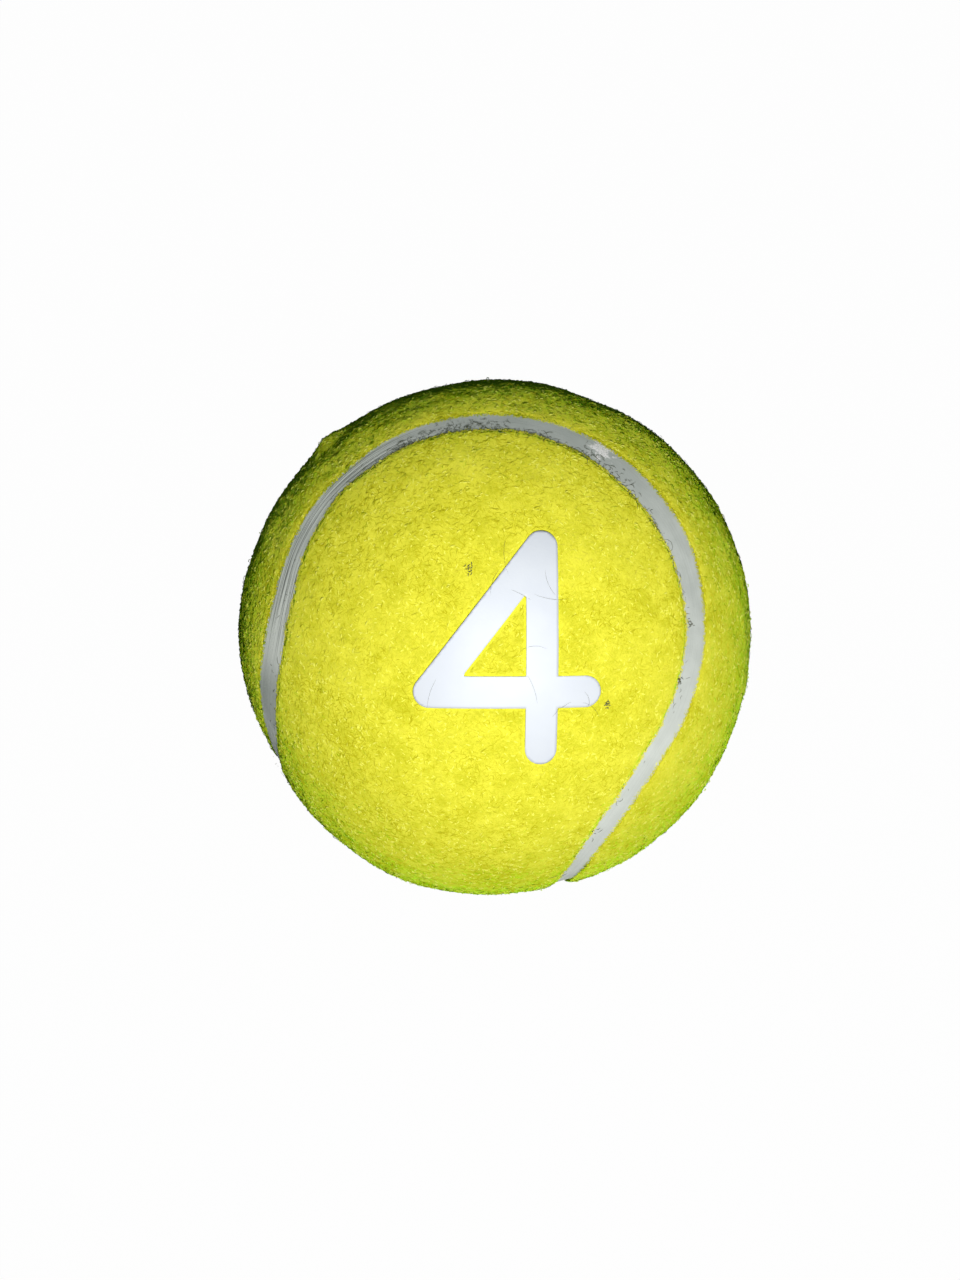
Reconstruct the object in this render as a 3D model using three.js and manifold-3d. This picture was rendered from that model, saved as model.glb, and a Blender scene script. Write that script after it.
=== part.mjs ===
// A felt-covered hollow rubber ball: two rubber half shells bonded at a ring, a cement coat,
// two dumbbell-shaped felt panels, the rubber seam between them and a plain number pressed on.
// Millimetres. +Z is up, and the origin is the centre of the ball as it lies on a table.

import * as THREE from 'three';
import { mergeVertices } from 'three/addons/utils/BufferGeometryUtils.js';
import Module from 'manifold-3d';

const wasm = await Module();
wasm.setup();

// Driving dimensions of the ball and its layers
const BALL_DIAMETER = 66.0;
const FELT_THICKNESS = 2.8;
const CEMENT_THICKNESS = 0.35;
const CORE_WALL = 3.5;
const JOINT_THICKNESS = 0.4; // cement ring between the two half shells
const LAYER_GAP = 0.25; // clearance between one layer and the next

// The seam: its centre line is four arcs, one round each panel lobe
const SEAM_WIDTH = 3.7;
const SEAM_DEPTH = 0.5; // from the top of the nap down to the rubber
const SEAM_GAP = 0.2; // clearance between the rubber and each panel's edge
const LOBE_TILT = 8.8; // degrees that a lobe's centre lies off the ball's equator
const OWN_LOBES = [45, 225]; // degrees round the equator to the first panel's lobes
const OTHER_LOBES = [135, 315]; // and to the second panel's, on the other side of it

// The number: pen strokes with round ends, pressed into the nap of one lobe
const NUMBER_HEIGHT = 25.0;
const NUMBER_WIDTH = 20.0;
const NUMBER_STROKE = 3.4;
const STEM_SHIFT = 3.6; // upright stroke, right of the number's middle
const BAR_DROP = 4.6; // cross stroke, below the number's middle
const FILM_THICKNESS = 0.25;
const FILM_DEPTH = 0.1; // the film's face below the top of the nap
const FILM_GAP = 0.3; // clearance between the film and the felt round it
const NUMBER_LON = -128.6; // degrees round the ball's own axis
const NUMBER_LAT = 6.1;
const NUMBER_TURN = 21.1; // degrees anticlockwise, seen from outside

// How the ball has rolled to rest: turned about its own axis, tipped back, then leaned over
const REST_TURN = 20.7;
const REST_TIP = -38.5;
const REST_LEAN = 27.7;

// Rings of facets from pole to pole on a sphere, odd so that none lies on the equator,
// and facets round the arcs of the seam and the ends of the number's strokes
const NAP_RINGS = 27;
const LAYER_RINGS = 15;
const EDGE_FACETS = 48;
const STROKE_END_FACETS = 5;

// Radii that follow from the layers, from the nap inwards
const napRadius = BALL_DIAMETER / 2;
const seamFaceRadius = napRadius - SEAM_DEPTH;
const feltBackRadius = napRadius - FELT_THICKNESS;
const cementOuterRadius = feltBackRadius - LAYER_GAP;
const cementInnerRadius = cementOuterRadius - CEMENT_THICKNESS;
const coreOuterRadius = cementInnerRadius - LAYER_GAP;
const coreInnerRadius = coreOuterRadius - CORE_WALL;
const filmFaceRadius = napRadius - FILM_DEPTH;
const filmBackRadius = filmFaceRadius - FILM_THICKNESS;
const pocketRadius = filmBackRadius - FILM_GAP;
const beyond = BALL_DIAMETER; // cutting bodies reach this far past the centre

// The four arcs meet on the equator, a quarter turn apart, which sets their angular radius
const { degToRad } = THREE.MathUtils;
const arcRadius = Math.acos(Math.cos(Math.PI / 4) * Math.cos(degToRad(LOBE_TILT)));

const rubber = { color: 0x2b2a28, roughness: 0.85 };
const cement = { color: 0xb9a983, roughness: 0.6 };
const felt = { color: 0xc9d62a, roughness: 0.95 };
const seamRubber = { color: 0xa9b3ab, roughness: 0.7 };
const film = { color: 0xf1eff6, roughness: 0.5 };

// Solids from geometry, and back
function toSolid(geometry) {
  const bare = new THREE.BufferGeometry();
  bare.setAttribute('position', geometry.getAttribute('position'));
  bare.setIndex(geometry.getIndex());
  const merged = mergeVertices(bare, 1e-4);
  return new wasm.Manifold(new wasm.Mesh({
    numProp: 3,
    vertProperties: new Float32Array(merged.getAttribute('position').array),
    triVerts: new Uint32Array(merged.getIndex().array),
  }));
}

function toGeometry(solid) {
  const mesh = solid.getMesh();
  const geometry = new THREE.BufferGeometry();
  geometry.setAttribute('position', new THREE.BufferAttribute(mesh.vertProperties, 3));
  geometry.setIndex(new THREE.BufferAttribute(mesh.triVerts, 1));
  geometry.computeVertexNormals();
  return geometry;
}

// East, north and outward at a place on the ball, from its longitude and latitude in degrees
function surfaceFrame(lonDegrees, latDegrees) {
  const lon = degToRad(lonDegrees);
  const lat = degToRad(latDegrees);
  const outward = new THREE.Vector3(
    Math.cos(lat) * Math.cos(lon), Math.cos(lat) * Math.sin(lon), Math.sin(lat));
  const east = new THREE.Vector3(-Math.sin(lon), Math.cos(lon), 0);
  const north = new THREE.Vector3().crossVectors(outward, east);
  return new THREE.Matrix4().makeBasis(east, north, outward);
}

// Bodies that the layers are cut from
function sphere(radius, rings) {
  return toSolid(new THREE.SphereGeometry(radius, 2 * rings, rings).rotateX(Math.PI / 2));
}

function layer(outer, outerRings, inner, innerRings) {
  return sphere(outer, outerRings).subtract(sphere(inner, innerRings));
}

// A cone from the ball's centre: it meets every layer in the same arc, and its walls are radial
function lobeCone(lon, lat, halfAngle) {
  const slant = 2 * beyond;
  const rim = new THREE.Vector2(slant * Math.sin(halfAngle), slant * Math.cos(halfAngle));
  const profile = [new THREE.Vector2(0, 0), rim, new THREE.Vector2(0, rim.y)];
  const cone = new THREE.LatheGeometry(profile, EDGE_FACETS).rotateX(Math.PI / 2);
  return toSolid(cone.applyMatrix4(surfaceFrame(lon, lat)));
}

function slab(low, high) {
  const box = new THREE.BoxGeometry(2 * beyond, 2 * beyond, high - low);
  return toSolid(box.translate(0, 0, (low + high) / 2));
}

// The space over one panel, its edge lying inset from the seam's centre line by a length
// measured at the nap: two lobes, and below the equator the waist that joins them, which is
// what the other panel's lobes leave. A lobe just touches its neighbours' cones.
function panelSpace(inset) {
  const drawIn = inset / napRadius;
  let space = slab(-beyond, 0);
  for (const lon of OTHER_LOBES) {
    space = space.subtract(lobeCone(lon, -LOBE_TILT, arcRadius + drawIn));
  }
  for (const lon of OWN_LOBES) {
    space = space.add(lobeCone(lon, LOBE_TILT, arcRadius - drawIn));
  }
  return space;
}

// The second panel is the first one turned half a turn about X
const halfTurn = [180, 0, 0];

// Rubber core: two half shells, whose rims stop short of the cement ring between them
function coreShell() {
  return layer(coreOuterRadius, LAYER_RINGS, coreInnerRadius, LAYER_RINGS);
}

function coreHalf() {
  return coreShell().intersect(slab(JOINT_THICKNESS / 2 + LAYER_GAP, beyond));
}

function coreJoint() {
  return coreShell().intersect(slab(-JOINT_THICKNESS / 2, JOINT_THICKNESS / 2));
}

// Cement coat under one panel: the two coats meet below the middle of the seam
function panelCement() {
  const coat = layer(cementOuterRadius, LAYER_RINGS, cementInnerRadius, LAYER_RINGS);
  return coat.intersect(panelSpace(LAYER_GAP / 2));
}

function feltPanel() {
  const cloth = layer(napRadius, NAP_RINGS, feltBackRadius, LAYER_RINGS);
  return cloth.intersect(panelSpace(SEAM_WIDTH / 2 + SEAM_GAP));
}

// The seam fills what the two panels leave, down to the felt's back
function seamStrip() {
  const space = panelSpace(SEAM_WIDTH / 2);
  return layer(seamFaceRadius, NAP_RINGS, feltBackRadius, LAYER_RINGS)
    .subtract(space)
    .subtract(space.rotate(halfTurn));
}

// One pen stroke of the number, from a point to a point, standing on the number's own plane
function stroke(from, to, width) {
  const along = new THREE.Vector2().subVectors(to, from);
  const shape = new THREE.Shape();
  shape.absarc(along.length(), 0, width / 2, -Math.PI / 2, Math.PI / 2, false);
  shape.absarc(0, 0, width / 2, Math.PI / 2, 3 * Math.PI / 2, false);
  shape.closePath();
  const body = new THREE.ExtrudeGeometry(shape, {
    depth: beyond, bevelEnabled: false, curveSegments: STROKE_END_FACETS,
  });
  return toSolid(body.rotateZ(along.angle()).translate(from.x, from.y, 0));
}

// The number's prism over its place on the ball, each stroke wider by a margin on every side
function numberPrism(margin) {
  const reachX = (NUMBER_WIDTH - NUMBER_STROKE) / 2;
  const reachY = (NUMBER_HEIGHT - NUMBER_STROKE) / 2;
  const top = new THREE.Vector2(STEM_SHIFT, reachY);
  const foot = new THREE.Vector2(STEM_SHIFT, -reachY);
  const left = new THREE.Vector2(-reachX, -BAR_DROP);
  const right = new THREE.Vector2(reachX, -BAR_DROP);
  const width = NUMBER_STROKE + 2 * margin;
  const seat = surfaceFrame(NUMBER_LON, NUMBER_LAT)
    .multiply(new THREE.Matrix4().makeRotationZ(degToRad(NUMBER_TURN)));
  return stroke(top, foot, width)
    .add(stroke(left, right, width))
    .add(stroke(top, left, width))
    .transform(seat.elements);
}

function numberFilm() {
  return layer(filmFaceRadius, NAP_RINGS, filmBackRadius, NAP_RINGS).intersect(numberPrism(0));
}

// The pressed pocket in the nap that the film lies in
function numberPocket() {
  return numberPrism(FILM_GAP).subtract(sphere(pocketRadius, NAP_RINGS));
}

// The object
const ball = new THREE.Group();
ball.rotation.set(degToRad(REST_TIP), degToRad(REST_LEAN), degToRad(REST_TURN), 'YXZ');

function place(name, geometry, look) {
  const mesh = new THREE.Mesh(geometry, new THREE.MeshStandardMaterial({ ...look, metalness: 0 }));
  mesh.name = name;
  ball.add(mesh);
  return mesh;
}

place('core_half_a', toGeometry(coreHalf()), rubber);
place('core_half_b', toGeometry(coreHalf()), rubber).rotation.x = Math.PI;
place('core_joint_cement', toGeometry(coreJoint()), cement);
place('panel_cement_a', toGeometry(panelCement()), cement);
place('panel_cement_b', toGeometry(panelCement()), cement).rotation.x = Math.PI;
place('felt_panel_a', toGeometry(feltPanel().subtract(numberPocket())), felt);
place('felt_panel_b', toGeometry(feltPanel()), felt).rotation.x = Math.PI;
place('seam_strip', toGeometry(seamStrip()), seamRubber);
place('number_film', toGeometry(numberFilm()), film);

export default ball;
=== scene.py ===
# %% [markdown]
# # A felt-covered ball
#
# This lesson dresses a hollow rubber ball in its felt cover. The construction model is loaded
# first and stays fixed: it gives the two rubber half shells, their cement and the solids of the
# two felt panels, the seam and the number. Blender then makes what the eye sees. All lengths are
# in metres, +Z is up and the ball's centre is the origin.

# %% Load the fixed frame
import itertools
import math

import bpy
import numpy as np
from mathutils import Matrix, Vector


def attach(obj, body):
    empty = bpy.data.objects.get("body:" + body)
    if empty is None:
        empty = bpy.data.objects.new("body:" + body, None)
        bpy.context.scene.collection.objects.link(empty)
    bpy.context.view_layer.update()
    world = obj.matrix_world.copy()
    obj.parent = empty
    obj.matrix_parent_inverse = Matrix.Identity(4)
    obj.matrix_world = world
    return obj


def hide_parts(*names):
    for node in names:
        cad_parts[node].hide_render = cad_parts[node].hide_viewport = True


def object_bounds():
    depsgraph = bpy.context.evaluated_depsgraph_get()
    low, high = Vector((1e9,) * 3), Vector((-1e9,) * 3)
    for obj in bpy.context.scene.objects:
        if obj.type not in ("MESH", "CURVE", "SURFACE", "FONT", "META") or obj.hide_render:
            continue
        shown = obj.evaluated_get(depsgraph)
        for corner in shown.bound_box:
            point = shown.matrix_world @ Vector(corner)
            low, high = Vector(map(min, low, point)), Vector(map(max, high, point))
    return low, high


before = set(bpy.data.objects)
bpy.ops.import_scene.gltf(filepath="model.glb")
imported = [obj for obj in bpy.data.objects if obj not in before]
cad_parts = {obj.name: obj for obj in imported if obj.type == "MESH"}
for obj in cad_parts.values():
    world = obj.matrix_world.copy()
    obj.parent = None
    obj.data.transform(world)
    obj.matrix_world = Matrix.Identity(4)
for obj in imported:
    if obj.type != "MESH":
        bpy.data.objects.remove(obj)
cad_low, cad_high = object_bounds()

print("CAD nodes:", sorted(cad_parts))

# %% [markdown]
# ## Sizes
#
# The ball is 66 mm across over its nap. The cloth's matted surface lies a little lower, and the
# loose fibres of the nap fill the rest. The seam is a strip of rubber that lies below the nap,
# and the number is a thin film pressed into it. These are the construction model's sizes, but
# for the seam's depth and gap, which are smaller here: that suits the photograph's shading.

# %% Sizes of the real ball
MM = 0.001
BALL_RADIUS = 33.0 * MM
FELT_BACK_RADIUS = 30.2 * MM
NAP_HEIGHT = 0.16 * MM  # from the matted cloth up to the ball's full radius
SEAM_WIDTH = 3.7 * MM
SEAM_DEPTH = 0.36 * MM
SEAM_FACE_RADIUS = BALL_RADIUS - SEAM_DEPTH
SEAM_GAP = 0.1 * MM
LOBE_TILT = 8.8  # degrees
NUMBER_HEIGHT = 25.0 * MM
NUMBER_WIDTH = 20.0 * MM
NUMBER_STROKE = 3.4 * MM
STEM_SHIFT = 3.6 * MM
BAR_DROP = 4.6 * MM
FILM_THICKNESS = 0.25 * MM
FILM_DEPTH = 0.1 * MM
NUMBER_LON, NUMBER_LAT, NUMBER_TURN = -128.6, 6.1, 21.1  # degrees
REST_TURN, REST_TIP, REST_LEAN = 20.7, -38.5, 27.7  # degrees

print(f"CAD box side {max(cad_high - cad_low) / MM:.2f} mm, nap {2 * BALL_RADIUS / MM:.2f} mm")

# %% [markdown]
# ## Directions on the ball
#
# The cover is easiest to describe in the ball's own axes, where the two panels meet on an
# equator. The ball then rolls to rest: it turns about its own axis, tips back and leans over.
# Each object could be turned by itself. Here each point is worked out in the ball's axes and
# laid down by one rotation at the end, so all pieces share one frame.

# %% Rotations and directions
ASKEW = (0.31, 0.52, 0.79)  # along no axis of the ball


def rotation(axis, degrees):
    return np.array(Matrix.Rotation(math.radians(degrees), 3, axis))


def towards(lon, lat):
    """The unit direction at a longitude and latitude in degrees."""
    lon, lat = math.radians(lon), math.radians(lat)
    return np.array([math.cos(lat) * math.cos(lon), math.cos(lat) * math.sin(lon), math.sin(lat)])


def unit(vectors):
    return vectors / np.linalg.norm(vectors, axis=-1, keepdims=True)


def tangents(way):
    """Two directions along the ball's surface at each place, square to each other."""
    first = unit(np.cross(way, ASKEW))
    return first, np.cross(way, first)


AT_REST = rotation("Y", REST_LEAN) @ rotation("X", REST_TIP) @ rotation("Z", REST_TURN)
print("the ball's own axis points to", np.round(AT_REST @ (0, 0, 1), 3))

# %% [markdown]
# ## Where the photograph shows a thing
#
# The photograph was taken from close by, with the lens about two ball widths in front of the
# nap. The ball's outline and the seam's perspective fix the lens and its distance. The camera's
# height is a guess, since a ball looks alike from everywhere. With these, a place in the
# photograph becomes a direction on the ball, for the few marks that lie at one spot.

# %% The photograph's view of the ball
IMAGE_WIDTH, IMAGE_HEIGHT = 960, 1280
CENTRE_X, CENTRE_Y = 495.2, 635.7  # the ball's centre in the photograph, in pixels
FOCAL_PIXELS = 1200.0
CAMERA_DISTANCE = 4.78 * BALL_RADIUS
CAMERA_ELEVATION = math.radians(50)
VIEW_RIGHT = np.array([1.0, 0, 0])
VIEW_UP = np.array([0, math.sin(CAMERA_ELEVATION), math.cos(CAMERA_ELEVATION)])
VIEW_BACK = np.cross(VIEW_RIGHT, VIEW_UP)  # from the ball towards the camera


def seen_at(x, y):
    """The direction on the ball that the photograph shows at a pixel, in the ball's axes."""
    ray = ((x - CENTRE_X) / FOCAL_PIXELS * VIEW_RIGHT + (CENTRE_Y - y) / FOCAL_PIXELS * VIEW_UP
           - VIEW_BACK)
    square, half = ray @ ray, ray @ VIEW_BACK * CAMERA_DISTANCE
    inner = half ** 2 - square * (CAMERA_DISTANCE ** 2 - BALL_RADIUS ** 2)
    reach = (-half - math.sqrt(max(inner, 0))) / square
    return unit(VIEW_BACK * CAMERA_DISTANCE + reach * ray) @ AT_REST


def near(way, place, reach):
    """1 at a place and fading to 0 around it, over about a reach in metres."""
    return np.exp(-((way - place) ** 2).sum(axis=-1) * (BALL_RADIUS / reach) ** 2)


def peaks(way, places):
    """Rounded peaks, from a list of places, each with its height and its reach in mm."""
    return sum(height * near(way, place, reach * MM) for place, height, reach in places)


print("the ball's middle in the photograph is", np.round(seen_at(CENTRE_X, CENTRE_Y), 3))

# %% [markdown]
# ## Lumps
#
# Felt is thicker in one place than in the next, at several scales. Blender's noise textures
# could shade such lumps, but cloth, rubber and film have to rise and fall together as shapes.
# A small noise of our own does that: it keeps random heights on a lattice and blends between
# the eight nearest.

# %% A noise for shapes
LATTICE = 32


def lumps(points, size, seed):
    """Smooth random heights from -1 to 1, with one lump every size metres."""
    heights = np.random.default_rng(seed).uniform(-1, 1, (LATTICE, LATTICE, LATTICE))
    cell = np.floor(points / size).astype(int)
    part = points / size - cell
    part = part * part * (3 - 2 * part)
    total = np.zeros(len(points))
    for corner in itertools.product((0, 1), repeat=3):
        share = np.prod(np.where(corner, part, 1 - part), axis=1)
        total += share * heights[tuple(((cell + corner) % LATTICE).T)]
    return total


def rough(points, layers):
    """Lumps of several sizes together, from a list of heights, sizes in mm and seeds."""
    return sum(height * lumps(points, size * MM, seed) for height, size, seed in layers)


# %% [markdown]
# ## The seam's line
#
# A real cover is cut as two dumbbells of cloth, which close like two hands round the core. Four
# arcs of one radius make the line between them: each goes round one lobe and meets the next on
# the equator with no kink. It could be drawn as a curve. A formula for how far a place is from
# it, above 0 on the first panel, serves everything that stops at the seam.

# %% Distance from the seam
ARC_RADIUS = math.acos(math.cos(math.pi / 4) * math.cos(math.radians(LOBE_TILT)))
OWN_LOBES = [towards(45, LOBE_TILT), towards(225, LOBE_TILT)]
OTHER_LOBES = [towards(135, -LOBE_TILT), towards(315, -LOBE_TILT)]
LEFT_STRETCH = seen_at(272, 672)
RIGHT_STRETCH = seen_at(655, 490)
UPPER_LEFT = seen_at(335, 470)
CREEP = [(UPPER_LEFT, 0.3, 11)]  # place, mm onto the first panel, reach in mm
WIDE = [(LEFT_STRETCH, 0.78, 13), (RIGHT_STRETCH, 0.62, 15)]  # place, mm wider, reach in mm
HALF_SHOWN = 0.445  # share of the seam's width that the nap leaves bare on each side
WOBBLE, WOBBLE_SIZE, WOBBLE_SEED = 0.08 * MM, 1.9 * MM, 5


def angle_from(way, lobe):
    return np.arccos(np.clip(way @ lobe, -1, 1))


def seam_shift(way):
    """Metres that the seam has crept onto the first panel."""
    return peaks(way, CREEP) * MM


def seam_side(way):
    """Metres from the seam's centre line, above 0 on the first panel. way is unit directions."""
    own = [ARC_RADIUS - angle_from(way, lobe) for lobe in OWN_LOBES]
    other = [angle_from(way, lobe) - ARC_RADIUS for lobe in OTHER_LOBES]
    side = BALL_RADIUS * np.where(way[..., 2] > 0, np.maximum(*own), np.minimum(*other))
    return side - seam_shift(way)


def seam_half(way):
    """Half the seam's width, which hand work left uneven: it is widest in two stretches."""
    wobble = WOBBLE * lumps(way.reshape(-1, 3) * BALL_RADIUS, WOBBLE_SIZE, WOBBLE_SEED)
    return HALF_SHOWN * SEAM_WIDTH + peaks(way, WIDE) * MM + wobble.reshape(way.shape[:-1])


print(f"each lobe reaches {math.degrees(ARC_RADIUS):.2f} degrees from its centre")

# %% [markdown]
# ## The number's outline
#
# A ball of this kind carries a printed mark. This one has a plain figure, drawn with three pen
# strokes that have round ends. A text object would need a font. The distance from a place to the
# nearest stroke gives both the film's outline and the rim that the press leaves in the nap.

# %% Distance from the number
REACH_X = (NUMBER_WIDTH - NUMBER_STROKE) / 2
REACH_Y = (NUMBER_HEIGHT - NUMBER_STROKE) / 2
STEM = ((STEM_SHIFT, REACH_Y), (STEM_SHIFT, -REACH_Y))
BAR = ((-REACH_X, -BAR_DROP), (REACH_X, -BAR_DROP))
SLANT = ((STEM_SHIFT, REACH_Y), (-REACH_X, -BAR_DROP))


def number_frame():
    """Right, up and outward at the number's place, as the rows of a matrix."""
    outward = towards(NUMBER_LON, NUMBER_LAT)
    east = unit(np.cross((0, 0, 1), outward))
    north = np.cross(outward, east)
    turn = math.radians(NUMBER_TURN)
    right = math.cos(turn) * east + math.sin(turn) * north
    return np.array([right, np.cross(outward, right), outward])


NUMBER_AXES = number_frame()


def flat_number_edge(x, y):
    """Metres outside the number's outline, on its own flat plane."""
    nearest = np.full(np.shape(x), np.inf)
    for (x0, y0), (x1, y1) in (STEM, BAR, SLANT):
        dx, dy = x1 - x0, y1 - y0
        along = np.clip(((x - x0) * dx + (y - y0) * dy) / (dx * dx + dy * dy), 0, 1)
        nearest = np.minimum(nearest, np.hypot(x - x0 - along * dx, y - y0 - along * dy))
    return nearest - NUMBER_STROKE / 2


def number_edge(way):
    """Metres outside the number's outline, for unit directions on the ball."""
    x, y, out = np.moveaxis(BALL_RADIUS * way @ NUMBER_AXES.T, -1, 0)
    return np.where(out > 0, flat_number_edge(x, y), BALL_RADIUS)


print("the number faces", np.round(AT_REST @ NUMBER_AXES[2], 3))

# %% [markdown]
# ## The height of the cloth
#
# The matted surface follows the lumps. It rolls down to the rubber at the panels' edges, where
# the cloth was cut and pressed, and it lies lower under the number and close round it. All this
# could be sculpted, but a formula also tells the loose fibres how high to lie.

# %% Height of the matted surface
SHOULDER = 1.5 * MM  # how far in from its edge the cloth starts to roll down
SHOULDER_DROP = 0.1 * MM
PRESS_DEPTH = 0.34 * MM
PRESS_RIM = 0.5 * MM
LONG_WAVES = [(0.15, 11, 1), (0.07, 5, 2)]  # height in mm, size in mm, seed
CLOTH_LUMPS = [(0.1, 3.4, 6), (0.05, 2.2, 3), (0.03, 0.9, 4)]
LEFT_HOLLOW = seen_at(262, 750)
TOP_HOLLOW = seen_at(594, 397)
HOLLOWS = [(LEFT_HOLLOW, 0.5, 9), (TOP_HOLLOW, 0.45, 4)]  # place, depth in mm, reach in mm
BOTTOM_BULGE = seen_at(428, 884)
CORNER_BULGE = seen_at(612, 866)
RIGHT_BULGE = seen_at(686, 808)
UPPER_BULGE = seen_at(655, 442)
UPPER_TUFT = seen_at(329, 442)
BULGES = [
    (BOTTOM_BULGE, 0.5, 14),
    (CORNER_BULGE, 0.45, 7),
    (UPPER_BULGE, 0.2, 12),
    (UPPER_TUFT, 0.75, 2.4),
    (RIGHT_BULGE, 0.35, 8),
]


def smooth_step(value):
    value = np.clip(value, 0, 1)
    return value * value * (3 - 2 * value)


def waves(way):
    """The long waves that felt, rubber and film share."""
    return (rough(way * BALL_RADIUS, LONG_WAVES) - peaks(way, HOLLOWS)) * MM


def cloth_radius(way):
    relief = rough(way * BALL_RADIUS, CLOTH_LUMPS) + peaks(way, BULGES)
    inward = np.abs(seam_side(way)) - seam_half(way)
    bend = 1 - np.clip(inward / SHOULDER, 0, 1)
    pressed = 1 - smooth_step(number_edge(way) / PRESS_RIM)
    return (BALL_RADIUS - NAP_HEIGHT + waves(way) + relief * MM
            - SHOULDER_DROP * bend ** 2 - PRESS_DEPTH * pressed)


places = np.array([BOTTOM_BULGE, LEFT_HOLLOW])
print("cloth radius in mm on a bulge and in a hollow:", np.round(cloth_radius(places) / MM, 2))

# %% [markdown]
# ## Meshes from arrays
#
# A mesh can be built face by face with bmesh. Large ones are quickest as whole arrays of points
# and faces. Every piece is laid in its rest attitude here and rides on the ball's one body.

# %% A piece from points and faces
def make_piece(name, points, faces, finish, slot, normals=None, **values):
    """A mesh piece from points in the ball's axes and a list of arrays of faces. Normals and
    values belong to the points."""
    mesh = bpy.data.meshes.new(name)
    mesh.vertices.add(len(points))
    mesh.vertices.foreach_set("co", (points @ AT_REST.T).astype(np.float32).ravel())
    counts = np.concatenate([np.full(len(part), part.shape[1]) for part in faces])
    corners = np.concatenate([part.ravel() for part in faces])
    mesh.loops.add(len(corners))
    mesh.loops.foreach_set("vertex_index", corners.astype(np.int32))
    mesh.polygons.add(len(counts))
    starts = np.concatenate([[0], np.cumsum(counts)[:-1]])
    mesh.polygons.foreach_set("loop_start", starts.astype(np.int32))
    mesh.update(calc_edges=True)
    mesh.shade_smooth()
    if normals is not None:
        mesh.normals_split_custom_set_from_vertices(normals @ AT_REST.T)
    for key, value in values.items():
        mesh.attributes.new(key, "FLOAT", "POINT").data.foreach_set("value", value)
    mesh.materials.append(finish)
    piece = bpy.data.objects.new(name, mesh)
    bpy.context.scene.collection.objects.link(piece)
    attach(piece, "root")
    print(f"{name}: {len(points)} points, {(counts - 2).sum()} triangles")
    return piece


# %% [markdown]
# ## Shaders as sums
#
# A material's patterns are sums and products of noises. The class below wraps a socket, so that
# an expression such as 1 - mask * 0.5 adds its own Math nodes. Any other node comes from one
# method, which takes its type, its settings and what its sockets hold.

# %% Wires
class Wire:
    """A socket that can stand in a sum. Each operator adds one Math node."""

    def __init__(self, nodes, socket):
        self.nodes, self.socket = nodes, socket

    def math(self, operation, *values):
        return self.nodes.node("Math", {"operation": operation}, dict(enumerate(values)))

    def __add__(self, other):
        return self.math("ADD", self, other)

    def __mul__(self, other):
        return self.math("MULTIPLY", self, other)

    def __sub__(self, other):
        return self.math("SUBTRACT", self, other)

    def __rsub__(self, other):
        return self.math("SUBTRACT", other, self)

    __radd__, __rmul__ = __add__, __mul__

    def ramp(self, low, high):
        """0 below low, 1 above high, and a smooth step between."""
        limits = {"Value": self, "From Min": low, "From Max": high}
        return self.nodes.node("MapRange", {"interpolation_type": "SMOOTHSTEP"}, limits)


class Nodes:
    """The node tree of a material or a world: node() adds any node and returns one output."""

    def __init__(self, owner):
        owner.use_nodes = True
        self.tree = owner.node_tree

    def join(self, node, sockets):
        for key, value in sockets.items():
            key = key.replace("_", " ") if isinstance(key, str) else key
            if isinstance(value, Wire):
                self.tree.links.new(value.socket, node.inputs[key])
            else:
                node.inputs[key].default_value = value

    def node(self, kind, settings=None, sockets=None, output=0):
        made = self.tree.nodes.new("ShaderNode" + kind)
        for key, value in (settings or {}).items():
            setattr(made, key, value)
        self.join(made, sockets or {})
        return Wire(self, made.outputs[output])

    def seen(self):
        """1 where the camera looks, straight or by way of a gloss or a clear thing."""
        camera, gloss, clear = [
            self.node("LightPath", output=f"Is {kind} Ray")
            for kind in ("Camera", "Glossy", "Transmission")]
        return camera.math("MAXIMUM", camera, gloss.math("MAXIMUM", gloss, clear))


# %% Finishes
class Finish(Nodes):
    """A material being made, around the shader that it starts with."""

    def __init__(self, name, **sockets):
        self.material = bpy.data.materials.new(name)
        super().__init__(self.material)
        self.surface = self.tree.nodes["Principled BSDF"]
        self.join(self.surface, sockets)

    def place(self):
        """The piece's own coordinates, in metres."""
        return self.node("TexCoord", output="Object")

    def value(self, name):
        """A value that the piece's points carry."""
        return self.node("Attribute", {"attribute_name": name}, output="Fac")

    def around(self, way):
        """Metres from a place on the ball."""
        held = {0: self.place(), 1: tuple(AT_REST @ way * BALL_RADIUS)}
        return self.node("VectorMath", {"operation": "DISTANCE"}, held, output="Value")

    def noise(self, size, detail=2.0, vector=None, **sockets):
        """Noise from 0 to 1, with one lump every size metres."""
        held = {"Vector": vector or self.place(), "Scale": 1 / size, "Detail": detail}
        return self.node("TexNoise", None, {**held, **sockets})

    def blend(self, factor, first, second):
        """A colour between two colours or wires."""
        settings = {"data_type": "RGBA", "clamp_factor": True}
        return self.node("Mix", settings, {0: factor, 6: first, 7: second}, output=2)

    def relief(self, height, distance, strength=1.0):
        """A Bump node's normal, from a height in shares of a distance in metres."""
        held = {"Height": height, "Distance": distance, "Strength": strength}
        return self.node("Bump", None, held)

    def wear(self, **sockets):
        """Sets or links the surface's own sockets, and returns the material."""
        self.join(self.surface, sockets)
        return self.material
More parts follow.
